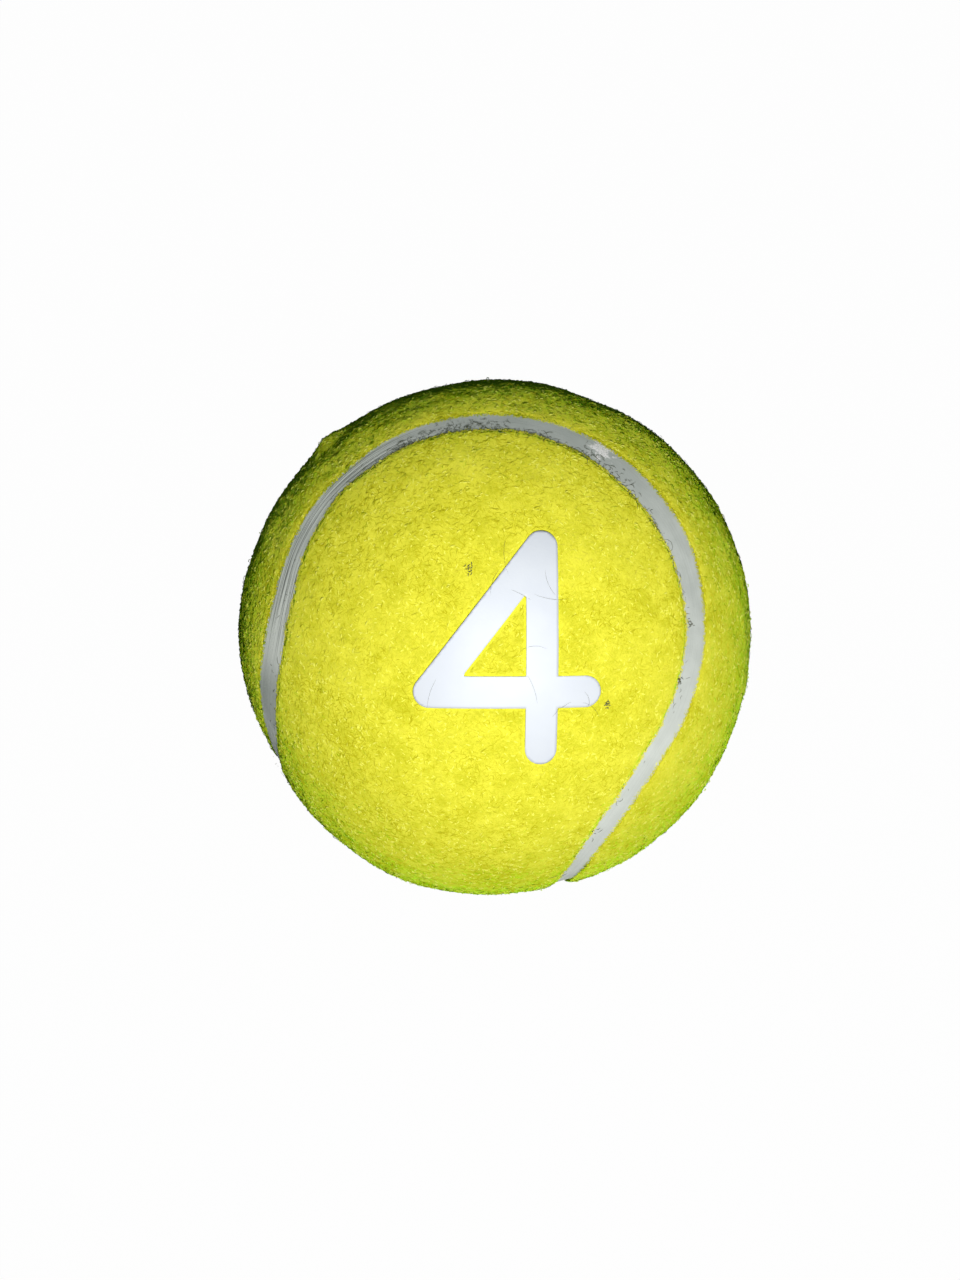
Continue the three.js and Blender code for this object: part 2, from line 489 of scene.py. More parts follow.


# %% [markdown]
# ## The felt's finish
#
# Tennis felt is wool and nylon in a fluorescent yellow, matted over a woven back. Between its
# fibres the dye looks deeper, because light has bounced there more than once. So the cloth below
# the nap gets painted shade: the deep colour in its hollows and the bright one on its lumps,
# mixed by noise that is partly the dye's own unevenness, with a fine relief like tangled threads.
# Fibres are too thin to show a pattern, so each tone of the dye has a plain finish: five tones
# for the nap, and the lightest for the few broad fibres that are painted highlights. A green
# sheen gives the ball its greener rim.

# %% Felt finishes
FELT_BRIGHT = (0.93, 0.91, 0.08, 1)
FELT_DEEP_SHADE = (0.70, 0.70, 0.03, 1)
NAP_TONES = [
    (0.64, 0.60, 0.015, 1),
    (0.715, 0.68, 0.025, 1),
    (0.775, 0.745, 0.035, 1),
    (0.83, 0.80, 0.05, 1),
    (0.90, 0.87, 0.08, 1),
]
# painted highlight: the colour of the glint strands, lighter than any nap tone
GLINT = (1.0, 1.0, 0.16, 1)
FUZZ = {
    "Roughness": 1.0, "Specular_IOR_Level": 0.0, "Diffuse_Roughness": 0.9,
    "Sheen_Weight": 0.9, "Sheen_Roughness": 0.4, "Sheen_Tint": (0.15, 0.66, 0.0, 1)}


def cloth_finish():
    felt = Finish("felt_cloth", **FUZZ)
    tufts_and_painted_light = felt.noise(2.4 * MM, 3.0)
    threads = felt.noise(0.28 * MM, 4.0, Distortion=1.2)
    # painted shade: the deep colour where the threads' relief is low, the bright one on its lumps
    painted_shade_mix = (tufts_and_painted_light * 0.6 + threads * 0.8).ramp(0.45, 0.9)
    return felt.wear(
        Base_Color=felt.blend(painted_shade_mix, FELT_DEEP_SHADE, FELT_BRIGHT),
        Normal=felt.relief(threads, 0.05 * MM),
    )


def strand_finish(name, colour, **sockets):
    return Finish(name, **sockets).wear(Base_Color=colour)


cloth = cloth_finish()
print(cloth.name, "has", len(cloth.node_tree.nodes), "nodes")

# %% [markdown]
# ## The felt panels
#
# Each panel is cut from a fine grid over the whole ball. The grid is a cube blown up to a
# sphere, so its squares are nearly alike everywhere. A Boolean would leave ragged triangles.
# Here the squares on the panel's side of the seam are kept, and the points along the cut move
# onto the exact edge. A copy at the cloth's back and a wall between them close the solid.

# %% Grids
def flat_quads(rows, columns):
    """The quads of a flat grid, whose points are numbered row by row."""
    index = np.arange(rows * columns).reshape(rows, columns)
    quads = np.stack([index[:-1, :-1], index[1:, :-1], index[1:, 1:], index[:-1, 1:]], -1)
    return quads.reshape(-1, 4)


def ball_grid(steps):
    """Unit directions and quads of a cube blown up to a sphere, wound to face outward."""
    line = np.tan(np.linspace(-1, 1, steps + 1) * math.pi / 4)
    across, up = np.meshgrid(line, line, indexing="ij")
    quad = flat_quads(steps + 1, steps + 1)
    points, quads = [], []
    for axis, sign in itertools.product(range(3), (1, -1)):
        flat = np.stack([across, up, np.full_like(up, 1.0)], -1).reshape(-1, 3)
        flat = np.roll(flat * (1, 1, sign), axis, axis=1)
        quads.append((quad if sign > 0 else quad[:, ::-1]) + len(points) * len(flat))
        points.append(unit(flat))
    points, quads = np.concatenate(points), np.concatenate(quads)
    _, first, where = np.unique(
        np.round(points, 6), axis=0, return_index=True, return_inverse=True)
    return points[first], where.reshape(-1)[quads]


def open_edges(quads):
    """The directed edges that only one face has, as pairs of points."""
    edges = np.stack([quads, np.roll(quads, -1, axis=1)], -1).reshape(-1, 2)
    span = edges.max() + 1
    forward, backward = edges @ (span, 1), edges @ (1, span)
    return edges[~np.isin(forward, backward)]


def shell(way, quads, top, back):
    """Points and faces of a closed shell between two radii."""
    count = len(way)
    points = np.concatenate([way * np.reshape(top, (-1, 1)), way * np.reshape(back, (-1, 1))])
    rim = open_edges(quads)
    wall = np.stack([rim[:, 1], rim[:, 0], rim[:, 0] + count, rim[:, 1] + count], -1)
    return points, [quads, quads[:, ::-1] + count, wall]


GRID_STEPS = 126
grid_way, grid_quads = ball_grid(GRID_STEPS)
print(len(grid_way), "points on the ball's grid")

# %% Cuts
PROBE = 0.05 * MM  # how far a slope is felt for
CUT_ROUNDS = 4
LEAST_SLOPE = 0.2  # squared, so that no step runs away where the edge is blunt


def keep_points(points, quads):
    """Drops the points that no face has."""
    used, where = np.unique(quads, return_inverse=True)
    return points[used], where.reshape(quads.shape)


def cut(way, quads, inside):
    """Keeps the quads where inside() is above 0 and moves their rim onto inside() = 0."""
    way, quads = keep_points(way, quads[inside(unit(way[quads].mean(axis=1))) > 0])
    rim = np.unique(open_edges(quads))
    nudge = PROBE / BALL_RADIUS
    for _ in range(CUT_ROUNDS):
        here = way[rim]
        pair = tangents(here)
        slopes = [
            (inside(unit(here + nudge * t)) - inside(unit(here - nudge * t))) / (2 * PROBE)
            for t in pair]
        steep = np.maximum(slopes[0] ** 2 + slopes[1] ** 2, LEAST_SLOPE)
        step = inside(here) / BALL_RADIUS / steep
        uphill = slopes[0][:, None] * pair[0] + slopes[1][:, None] * pair[1]
        way[rim] = unit(here - step[:, None] * uphill)
    return way, quads


# %% Cut the two felt panels
PANELS = {"a": 1, "b": -1}  # on which side of the seam each one lies


def felt_panel(letter, sign):
    way, quads = cut(
        grid_way, grid_quads, lambda w: sign * seam_side(w) - seam_half(w) - SEAM_GAP)
    points, faces = shell(way, quads, cloth_radius(way), FELT_BACK_RADIUS)
    return make_piece(f"felt_cloth_{letter}", points, faces, cloth, "felt")


panels = {letter: felt_panel(letter, sign) for letter, sign in PANELS.items()}

# %% [markdown]
# ## Strands
#
# The nap makes felt look like felt: loose fibres that lie every way over the matted cloth, curl,
# and cross the panels' edges. Blender's hair would draw them, but the ball is handed on as
# meshes. So each fibre is a thin three-sided strand that tapers to both ends. Shaded as round
# rods, such thin strands would look noisy, so they are shaded mostly the way the cloth faces.

# %% Centre lines of strands
ARCH_START, ARCH_SPAN = 0.08, 0.84  # in half waves: a strand rises from the cloth and dips again
SUNK = 0.03 * MM  # how deep a strand lies that doesn't rise


def strand_paths(way, heading, length, curl, lift, base, stations=4):
    """Centre lines of curled strands: points by strand, station and axis."""
    share = np.linspace(0, 1, stations)
    first, second = tangents(way)
    step = length[:, None] * np.diff(share, prepend=0)
    angle = heading[:, None] + curl[:, None] * (share - 0.5)
    x = np.cumsum(np.cos(angle) * step, axis=1)[..., None]
    y = np.cumsum(np.sin(angle) * step, axis=1)[..., None]
    spot = unit(way[:, None] * BALL_RADIUS + x * first[:, None] + y * second[:, None])
    floor = base(spot.reshape(-1, 3)).reshape(len(way), stations)
    rise = lift[:, None] * np.sin(math.pi * (ARCH_START + ARCH_SPAN * share)) - SUNK
    return spot * (floor + rise)[..., None]


# %% The way that strands face
FACING_PROBE = 0.25 * MM
STEEPEST = 0.4


def cloth_facing(way):
    """The way that the cloth faces, from the slopes of its lumps."""
    step = FACING_PROBE / BALL_RADIUS
    facing = way.copy()
    for tangent in tangents(way):
        ahead, behind = [cloth_radius(unit(way + turn * tangent)) for turn in (step, -step)]
        slope = np.clip((ahead - behind) / (2 * FACING_PROBE), -STEEPEST, STEEPEST)
        facing -= slope[:, None] * tangent
    return unit(facing)


# %% Meshes of strands
SECTION = np.radians([90, 210, 330])  # a strand's three edges
ROUNDING = 0.1  # how much of a strand's own roundness its shading shows
TAPER = 0.5  # a power below 1 keeps a strand thick until close to its ends


def strand_faces(stations):
    """The triangles of one strand: a tube whose two ends are drawn to a point."""
    side, rounds = len(SECTION), stations - 2
    tip, last = side * rounds, side * (rounds - 1)
    faces = []
    for k in range(side):
        after = (k + 1) % side
        faces += [(tip, k, after), (tip + 1, last + after, last + k)]
        for r in range(rounds - 1):
            a, b = side * r + k, side * r + after
            faces += [(a, a + side, b), (b, a + side, b + side)]
    return np.array(faces)


def strand_mesh(paths, width, rounding=ROUNDING, lean=0.0, facing=None):
    """Points, triangles and normals of tapered strands along paths. Each strand is shaded as if
    it leaned its own way, by a random slope of the size of lean."""
    count, stations = paths.shape[:2]
    along = np.gradient(paths, axis=1)
    outward = unit(paths)
    across = unit(np.cross(along, outward))
    upward = unit(np.cross(across, along))
    taper = np.sin(math.pi * np.linspace(0, 1, stations)[1:-1]) ** TAPER
    radius = (width[:, None] / 2 * taper)[..., None, None]
    ring = (np.cos(SECTION)[:, None] * across[:, 1:-1, None] +
            np.sin(SECTION)[:, None] * upward[:, 1:-1, None])
    rings = (paths[:, 1:-1, None] + ring * radius).reshape(count, -1, 3)
    points = np.concatenate([rings, paths[:, :1], paths[:, -1:]], axis=1)
    level = outward if facing is None else outward - outward[:, :1] + facing[:, None]
    slopes = np.random.default_rng(count).normal(size=(count, 1, 3))
    leaning = unit(level + lean * slopes)
    shown = unit(rounding * ring + (1 - rounding) * leaning[:, 1:-1, None])
    normals = np.concatenate(
        [shown.reshape(count, -1, 3), leaning[:, :1], leaning[:, -1:]], axis=1)
    starts = points.shape[1] * np.arange(count)[:, None, None]
    faces = strand_faces(stations)[None] + starts
    return points.reshape(-1, 3), faces.reshape(-1, 3), normals.reshape(-1, 3)


def strand_piece(name, paths, width, finish, **shading):
    points, faces, normals = strand_mesh(paths, width, **shading)
    return make_piece(name, points, [faces], finish, "felt", normals)


# %% [markdown]
# ## Strands on a panel
#
# Strands are thrown over the whole ball at random. Those that would leave their panel or cross
# the number are dropped, but a few may hang over the edge and rest on the rubber. The cut edge
# has a denser fringe, whose strands point out over the seam.

# %% Grow strands on a panel
RUBBER_DROP = 0.11 * MM  # from the cloth's edge down to where a strand rests on the rubber
DROP_WIDTH = 0.35 * MM
OVERHANG = 0.7 * MM
NUMBER_CLEARANCE = 0.12 * MM
SHORTEST = 0.45  # of the longest strand
NAP_CURL = 0.8  # radians
LIFT_SHAPE = 2.0  # of the gamma that gives how high strands rise


def random_ways(rng, count):
    return unit(rng.normal(size=(count, 3)))


def nap_base(way):
    """What strands lie on: the cloth, and past its edge the rubber, which is a little lower."""
    outward = seam_half(way) - np.abs(seam_side(way))
    return cloth_radius(way) - RUBBER_DROP * smooth_step(outward / DROP_WIDTH)


def grow(rng, count, letter, longest, rise):
    """Paths of strands that stay on one panel and clear of the number."""
    kept = []
    while sum(map(len, kept)) < count:
        paths = strand_paths(
            random_ways(rng, count), rng.uniform(0, 2 * math.pi, count),
            rng.uniform(SHORTEST, 1.0, count) * longest, rng.normal(0, NAP_CURL, count),
            rng.gamma(LIFT_SHAPE, rise / LIFT_SHAPE, count), nap_base)
        spots = unit(paths)
        inward = (PANELS[letter] * seam_side(spots) - seam_half(spots)).min(axis=1)
        clear = number_edge(spots).min(axis=1) > NUMBER_CLEARANCE
        kept.append(paths[clear & (inward > -OVERHANG * rng.random(count) ** 2)])
    return np.concatenate(kept)[:count]


# %% Grow the fringe
FRINGE_STRANDS = 8000
FRINGE_TRIES = 200000
FRINGE_ROOTS, FRINGE_BAND = 0.1 * MM, 0.2 * MM  # inside the edge, and how far off that line
FRINGE_LENGTHS = 0.25 * MM, 0.85 * MM
FRINGE_SPREAD, FRINGE_CURL = 0.9, 1.5  # radians
FRINGE_LIFT = 0.02 * MM
SLOPE_PROBE = 0.001  # radians


def fringe(rng, letter):
    """Short strands along a panel's edge that point out over the rubber."""
    kept = []
    while sum(map(len, kept)) < FRINGE_STRANDS:
        way = random_ways(rng, FRINGE_TRIES)
        inward = PANELS[letter] * seam_side(way) - seam_half(way)
        way = way[np.abs(inward - FRINGE_ROOTS) < FRINGE_BAND]
        slopes = [
            seam_side(unit(way + SLOPE_PROBE * tangent)) - seam_side(way)
            for tangent in tangents(way)]
        out = np.arctan2(slopes[1], slopes[0]) + (math.pi if letter == "a" else 0)
        count = len(way)
        kept.append(strand_paths(
            way, out + rng.normal(0, FRINGE_SPREAD, count), rng.uniform(*FRINGE_LENGTHS, count),
            rng.normal(0, FRINGE_CURL, count), rng.gamma(LIFT_SHAPE, FRINGE_LIFT, count),
            nap_base))
    return np.concatenate(kept)[:FRINGE_STRANDS]


# %% [markdown]
# ## The nap
#
# Real felt gathers in darker and lighter tufts. So the strands of a panel are sorted by the
# tuft that they lie on and by painted shade and painted light laid over some places, with some
# disorder, and dealt out to the five tones, one piece for each.
# All of them in one piece would be too large. Broad, short strands of the lightest yellow lie
# among them as painted highlights, standing in for fibres that catch the light.

# %% Lay the nap over both panels
NAP_STRANDS = 15000  # in each tone
NAP_LENGTH, NAP_RISE = 1.1 * MM, 0.06 * MM
NAP_WIDTHS = 0.05 * MM, 0.095 * MM
NAP_LEAN = 0.17
TUFTS = [(1.0, 3.2, 11), (0.6, 1.1, 12)]  # weight, size in mm, seed
LOWER_LEFT = seen_at(385, 815)
FAR_LOBE = seen_at(700, 490)
# painted shade: strands on the lower left and on the far lobe are dealt darker tones
PAINTED_SHADE_PLACES = [(LOWER_LEFT, 0.8, 15), (FAR_LOBE, 0.8, 12)]  # place, weight, reach in mm
DISORDER = 0.5
# painted light: the first panel's fringe strands are dealt lighter tones
FRINGE_PAINTED_LIGHT = 0.8  # the first panel's fringe stands in the light
# painted shade: the second panel's strands are dealt darker tones close to its edge
RIM_SHADE, RIM_REACH = 0.2, 0.45 * MM  # the second panel's edge is shaded
# painted highlights: broad, short strands of the lightest yellow stand in for fibres that catch
# the light
GLINT_STRANDS = 7000
GLINT_LENGTH, GLINT_RISE = 0.7 * MM, 0.08 * MM
GLINT_WIDTHS = 0.11 * MM, 0.19 * MM
GLINT_ROUNDING = 0.3


def glints(rng, letter):
    paths = grow(rng, GLINT_STRANDS, letter, GLINT_LENGTH, GLINT_RISE)
    return strand_piece(
        f"felt_glints_{letter}", paths, rng.uniform(*GLINT_WIDTHS, len(paths)), glint_finish,
        rounding=GLINT_ROUNDING, facing=cloth_facing(unit(paths[:, 1])))


def nap(letter, finishes):
    """All the strands of a panel, those on darker tufts and in painted shade first, one piece for
    each tone.
    """
    rng = np.random.default_rng(ord(letter))
    count = NAP_STRANDS * len(finishes)
    paths = np.concatenate([grow(rng, count, letter, NAP_LENGTH, NAP_RISE), fringe(rng, letter)])
    way = unit(paths[:, 1])
    tufts_and_painted_light = rough(paths[:, 1], TUFTS) - peaks(way, PAINTED_SHADE_PLACES)
    if letter == "a":
        tufts_and_painted_light[-FRINGE_STRANDS:] += FRINGE_PAINTED_LIGHT
    else:
        inward = -seam_side(way) - seam_half(way)
        tufts_and_painted_light -= RIM_SHADE * np.exp(-np.maximum(inward, 0) / RIM_REACH)
    order = np.argsort(tufts_and_painted_light + rng.normal(0, DISORDER, len(paths)))
    facing = cloth_facing(way)
    pieces = []
    for index, (part, finish) in enumerate(zip(np.array_split(order, len(finishes)), finishes)):
        pieces.append(strand_piece(
            f"felt_nap_{letter}_{index + 1}", paths[part], rng.uniform(*NAP_WIDTHS, len(part)),
            finish, lean=NAP_LEAN, facing=facing[part]))
    return pieces + [glints(rng, letter)]


tones = [strand_finish(f"nap_tone_{i + 1}", tone, **FUZZ) for i, tone in enumerate(NAP_TONES)]
glint_finish = strand_finish("nap_glint", GLINT, **FUZZ)
naps = {letter: nap(letter, tones) for letter in PANELS}

# %% [markdown]
# ## The seam
#
# The seam is vulcanised rubber, which oozed up between the panels' edges and set. A bevelled
# curve would keep one width, so a grid is swept along the four arcs instead, as wide as the
# seam is at each step. It is nearly flat, with a small lip against each panel, and fine grooves
# run along it where it was trimmed.

# %% Directions along the seam
SEAM_ACROSS = 40
SEAM_ALONG = 300  # steps on each arc
SEAM_LAP = 0.1 * MM  # wider than what shows, on each side


def seam_arc(lobe, before, after, across):
    """Directions along one arc: its lobe's centre, its neighbours' centres, and the offsets
    in radians by step and place across."""
    first = unit(before - (before @ lobe) * lobe)
    second = np.cross(lobe, first)
    span = math.atan2(after @ second, after @ first)
    span -= math.copysign(2 * math.pi, span)  # the long way round the lobe
    angle = np.linspace(0, span, SEAM_ALONG + 1)[:-1, None, None]
    polar = (ARC_RADIUS + across)[..., None]
    around = np.cos(angle) * first + np.sin(angle) * second
    return np.cos(polar) * lobe + np.sin(polar) * around


def seam_ring():
    """Directions by step and offset, offsets in shares of the half width, metres along."""
    share = np.linspace(-1, 1, SEAM_ACROSS + 1)
    lobes = [OWN_LOBES[0], OTHER_LOBES[0], OWN_LOBES[1], OTHER_LOBES[1]]
    rows = []
    for i, lobe in enumerate(lobes):
        onward = -1 if lobe[2] > 0 else 1  # to the first panel, from the lobe's centre outward
        ends = lobes[i - 1], lobes[(i + 1) % 4]
        middle = seam_arc(lobe, *ends, np.zeros((SEAM_ALONG, 1)))
        offset = seam_shift(middle) + share * (seam_half(middle) + SEAM_LAP)
        rows.append(seam_arc(lobe, *ends, onward * offset / BALL_RADIUS))
    way = np.concatenate(rows)
    middle = way[:, SEAM_ACROSS // 2] * SEAM_FACE_RADIUS
    steps = np.linalg.norm(np.diff(middle, axis=0, prepend=middle[:1]), axis=1)
    return way, share, np.cumsum(steps)


print(f"the seam is {seam_ring()[2][-1] / MM:.0f} mm long")

# %% [markdown]
# ## The seam's finish
#
# The rubber is dull and grey. Three stretches of the seam are painted paler, as painted light,
# and two others are darker. It is scratched along its length. An image could show this. Here the
# scratches are a noise stretched along the seam, by the metres across and along it that the
# points carry. A pale scuff near the top is ragged and a little glossier than the rest.

# %% Seam finish
SCRATCHED_STRETCH = seen_at(328, 530)
LOW_STRETCH = seen_at(650, 790)
SCUFF = seen_at(604, 448)
PALE_STRETCH = seen_at(272, 620)
DULL_STRETCH = seen_at(550, 432)
DARK_END = seen_at(269, 704)
SEAM_TONES = (0.58, 0.63, 0.60, 1), (0.67, 0.72, 0.69, 1)
# painted light: the pale colour, laid over three stretches as if they were lit more strongly;
# DULL and DARK make two other stretches darker
PALE_PAINTED_LIGHT, DULL, DARK = (0.88, 0.93, 0.88, 1), (0.33, 0.38, 0.36, 1), (0.20, 0.24, 0.22, 1)
SCRATCH, WHITE = (0.14, 0.16, 0.15, 1), (1.0, 1.0, 1.0, 1)
SHADES = [  # place, full within and gone beyond so many mm, share, colour
    (PALE_STRETCH, 3, 11, 0.62, PALE_PAINTED_LIGHT),
    (UPPER_LEFT, 3, 11, 0.55, PALE_PAINTED_LIGHT),
    (LOW_STRETCH, 7, 24, 0.35, PALE_PAINTED_LIGHT),
    (DULL_STRETCH, 5, 20, 0.4, DULL),
    (DARK_END, 1, 8, 0.58, DARK),
]
SCRATCH_STRETCH = 0.012  # along the seam, against across it
SCRATCH_FAINT, SCRATCH_STRONG = 0.06, 0.75


def seam_finish():
    rubber = Finish("seam_rubber", Specular_IOR_Level=0.25, Diffuse_Roughness=0.8)
    across, along = rubber.value("across"), rubber.value("along")
    run = rubber.node("CombineXYZ", None, {"X": across, "Y": along * SCRATCH_STRETCH})
    scratches = rubber.noise(0.17 * MM, 1.0, run, Distortion=0.2).ramp(0.5, 0.62)
    patches = rubber.noise(2.6 * MM, 3.0)
    grain = rubber.noise(0.22 * MM, 3.0)
    tone = rubber.blend(patches.ramp(0.3, 0.7), *SEAM_TONES)
    for place, inner, outer, share, shade in SHADES:
        reach = 1 - rubber.around(place).ramp(inner * MM, outer * MM)
        tone = rubber.blend(reach * share, tone, shade)
    scratched = 1 - rubber.around(SCRATCHED_STRETCH).ramp(8 * MM, 19 * MM)
    worn = scratches * (SCRATCH_FAINT + scratched * SCRATCH_STRONG)
    tone = rubber.blend(worn, tone, SCRATCH)
    ragged = (rubber.noise(0.9 * MM, 4.0) - 0.5) * 4.5 * MM
    scuff = 1 - (rubber.around(SCUFF) + ragged).ramp(1.0 * MM, 1.7 * MM)
    strokes = rubber.noise(0.4 * MM, 3.0, Distortion=2.5)
    tone = rubber.blend(scuff * strokes.ramp(0.35, 0.55), tone, WHITE)
    height = grain * 0.6 - worn + scuff * rubber.noise(0.5 * MM, 3.0) * 1.5
    return rubber.wear(
        Base_Color=tone, Roughness=0.65 - scuff * 0.35, Normal=rubber.relief(height, 0.06 * MM))


# %% Sweep the seam
LIP, LIP_POWER = 0.05 * MM, 6
GROOVE_SIZE, GROOVE_STRETCH, GROOVE_SEED = 0.25 * MM, 60, 7
GROOVE_DEPTH, SCRATCH_DEPTH, SCRATCH_REACH = 0.01 * MM, 0.015 * MM, 14 * MM


def seam():
    way, share, along = seam_ring()
    steps, wide = way.shape[:2]
    flat = way.reshape(-1, 3)
    half = seam_half(way[:, wide // 2])
    line, run = np.outer(half, share).ravel(), np.repeat(along, wide)
    groove = lumps(
        np.stack([line, run / GROOVE_STRETCH, 0 * run], -1), GROOVE_SIZE, GROOVE_SEED)
    scratched = near(flat, SCRATCHED_STRETCH, SCRATCH_REACH)
    lip = LIP * np.abs(np.tile(share, steps)) ** LIP_POWER
    grooves = (GROOVE_DEPTH + SCRATCH_DEPTH * scratched) * groove
    top = SEAM_FACE_RADIUS + lip + grooves + waves(flat)
    index = np.arange(steps * wide).reshape(steps, wide)
    after = np.roll(index, -1, axis=0)  # the last step meets the first
    quads = np.stack([index[:, 1:], after[:, 1:], after[:, :-1], index[:, :-1]], -1)
    points, faces = shell(flat, quads.reshape(-1, 4), top, FELT_BACK_RADIUS)
    return make_piece(
        "seam_bead", points, faces, seam_finish(), "seam_rubber",
        across=np.tile(line, 2), along=np.tile(run, 2))


seam_piece = seam()

# %% [markdown]
# ## The number
#
# The figure is a thin film that heat and pressure set into the nap. Painted on the felt, it
# would lose its crisp edge and smooth face between the fibres. As a solid it follows the ball's
# broad waves. Its outline is cut from a fine flat grid, as the panels were from the ball's.

# %% Cut the number's film
FILM_STEP = 0.2 * MM
FILM_MARGIN = 3  # steps of grid outside the figure
FILM_TONES = (0.78, 0.84, 0.93, 1), (0.81, 0.87, 0.95, 1)


def film_finish():
    film = Finish("number_film", Roughness=0.5, Specular_IOR_Level=0.4)
    cloud = film.noise(4.0 * MM, 2.0)
    weave = film.noise(0.5 * MM, 2.0)
    return film.wear(
        Base_Color=film.blend(cloud.ramp(0.3, 0.7), *FILM_TONES),
        Normal=film.relief(weave, 0.03 * MM, 0.4))


def number():
    wide, tall = [
        int(size / FILM_STEP) // 2 + FILM_MARGIN for size in (NUMBER_WIDTH, NUMBER_HEIGHT)]
    x, y = np.meshgrid(
        np.arange(-wide, wide + 1) * FILM_STEP, np.arange(-tall, tall + 1) * FILM_STEP,
        indexing="ij")
    out = np.sqrt(BALL_RADIUS ** 2 - x ** 2 - y ** 2)
    way = unit(np.stack([x, y, out], -1).reshape(-1, 3)) @ NUMBER_AXES
    way, quads = cut(way, flat_quads(*x.shape), lambda w: -number_edge(w))
    top = BALL_RADIUS - FILM_DEPTH + waves(way)
    points, faces = shell(way, quads, top, top - FILM_THICKNESS)
    return make_piece("number_print", points, faces, film_finish(), "number_film")


number_piece = number()

# %% [markdown]
# ## Stray fibres
#
# A used ball carries dark, curled fibres and specks of grit. They gather on the rubber along
# the top of the near lobe, and a few lie across the number. As real strands they cast small
# shadows, which a pattern would not. A speck is a bundle of short strands.

# %% Where stray fibres lie
TOP_STRETCH = seen_at(500, 428)
GRUBBY_STRETCH = seen_at(455, 432)
LOOPS = [seen_at(668, 549), seen_at(671, 569), seen_at(676, 580)]
SPECKS = [seen_at(470, 568), seen_at(608, 704), seen_at(692, 624), seen_at(681, 681)]
EDGE_DIRT = [(TOP_STRETCH, 0.3, 12), (RIGHT_STRETCH, 0.2, 14)]  # place, chance, reach in mm
LOOSE_DIRT = [(GRUBBY_STRETCH, 0.3, 7), (SCUFF, 0.3, 2.5)]
EDGE_CHANCE, LOOSE_CHANCE, FILM_CHANCE = 0.015, 0.012, 0.0025  # everywhere else
EDGE_LINE, LOOSE_LINE = 0.9, 0.5  # in shares of the seam's half width
EDGE_SPREAD, LOOSE_SPREAD = 0.45 * MM, 0.7 * MM
STRAY_SEED, STRAY_TRIES = 21, 400000
SPECK_STRANDS, SPECK_SPREAD = 14, 0.006
FILM_RIM = 0.5 * MM  # of the film that stays clean
NAP_TOP, LYING = 0.1 * MM, 0.06 * MM  # over the matted cloth, and over whatever is below


def across_seam(way, share, width):
    """1 at a share of the seam's half width, fading to 0 on both sides of it."""
    return np.exp(-((seam_side(way) - share * seam_half(way)) / width) ** 2)


def picked_strays(rng):
    way = random_ways(rng, STRAY_TRIES)
    wish = across_seam(way, EDGE_LINE, EDGE_SPREAD) * (peaks(way, EDGE_DIRT) + EDGE_CHANCE)
    wish += across_seam(way, LOOSE_LINE, LOOSE_SPREAD) * (peaks(way, LOOSE_DIRT) + LOOSE_CHANCE)
    film = number_edge(way) < -FILM_RIM
    return way[rng.random(len(way)) < wish + FILM_CHANCE * film]


def surface_radius(way):
    """The radius that strays lie at: on the nap, the rubber or the film."""
    inward = np.abs(seam_side(way)) - seam_half(way)
    top = np.where(inward < 0, SEAM_FACE_RADIUS, cloth_radius(way) + NAP_TOP)
    return np.where(number_edge(way) < 0, BALL_RADIUS - FILM_DEPTH, top) + LYING


# %% Dark fibres and specks
STRAY_STATIONS = 8
STRAY_COLOUR = (0.12, 0.13, 0.08, 1)
STRAY_LENGTHS = 3.0, 0.2  # a gamma's shape, and its scale in mm
LOOP_LENGTH, SPECK_LENGTH, HAIR_LENGTHS = 3.6, 0.4, (1.5, 4.5)  # mm
LOOP_WIDTH, SPECK_WIDTH, HAIR_WIDTH, STRAY_WIDTHS = 0.05, 0.09, 0.028, (0.03, 0.055)  # mm
LOOP_CURL, HAIR_CURL, STRAY_CURL = 5.0, 1.0, 2.4  # radians
STRAY_LIFT = 0.1 * MM


def strays():
    """Short kinked fibres on the rubber, a few long ones on the film, and specks of grit."""
    rng = np.random.default_rng(STRAY_SEED)
    picked = picked_strays(rng)
    spread = rng.normal(0, SPECK_SPREAD, (SPECK_STRANDS * len(SPECKS), 3))
    specks = unit(np.repeat(SPECKS, SPECK_STRANDS, axis=0) + spread)
    way = np.concatenate([LOOPS, picked, specks])
    count = len(way)
    on_film = number_edge(way) < 0
    loop = np.arange(count) < len(LOOPS)
    speck = np.arange(count) >= len(LOOPS) + len(picked)
    kinds = [loop, speck, on_film]
    hairs = rng.uniform(*HAIR_LENGTHS, count)
    length = np.select(
        kinds, [LOOP_LENGTH, SPECK_LENGTH, hairs], rng.gamma(*STRAY_LENGTHS, count))
    curl = np.where(loop, LOOP_CURL, rng.normal(0, np.where(on_film, HAIR_CURL, STRAY_CURL)))
    paths = strand_paths(
        way, rng.uniform(0, 2 * math.pi, count), length * MM, curl,
        rng.uniform(0, STRAY_LIFT, count), surface_radius, STRAY_STATIONS)
    width = np.select(
        kinds, [LOOP_WIDTH, SPECK_WIDTH, HAIR_WIDTH], rng.uniform(*STRAY_WIDTHS, count))
    print(len(picked), "stray fibres,", on_film.sum(), "on the film")
    finish = strand_finish("stray_fibre", STRAY_COLOUR, Roughness=0.8)
    strand_piece("stray_fibres", paths, width * MM, finish, rounding=1.0)


strays()

# %% [markdown]
# ## What stands for what
#
# The detailed cover hides the construction model's plain solids. The core and its cement stay
# and get finishes of their own: the core is dark moulded rubber with a dusty bloom, and the
# cement is tan, with the marks of the brush.

# %% Replace the plain cover and finish the core
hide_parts("felt_panel_a")
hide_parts("felt_panel_b")
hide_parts("seam_strip")
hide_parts("number_film")


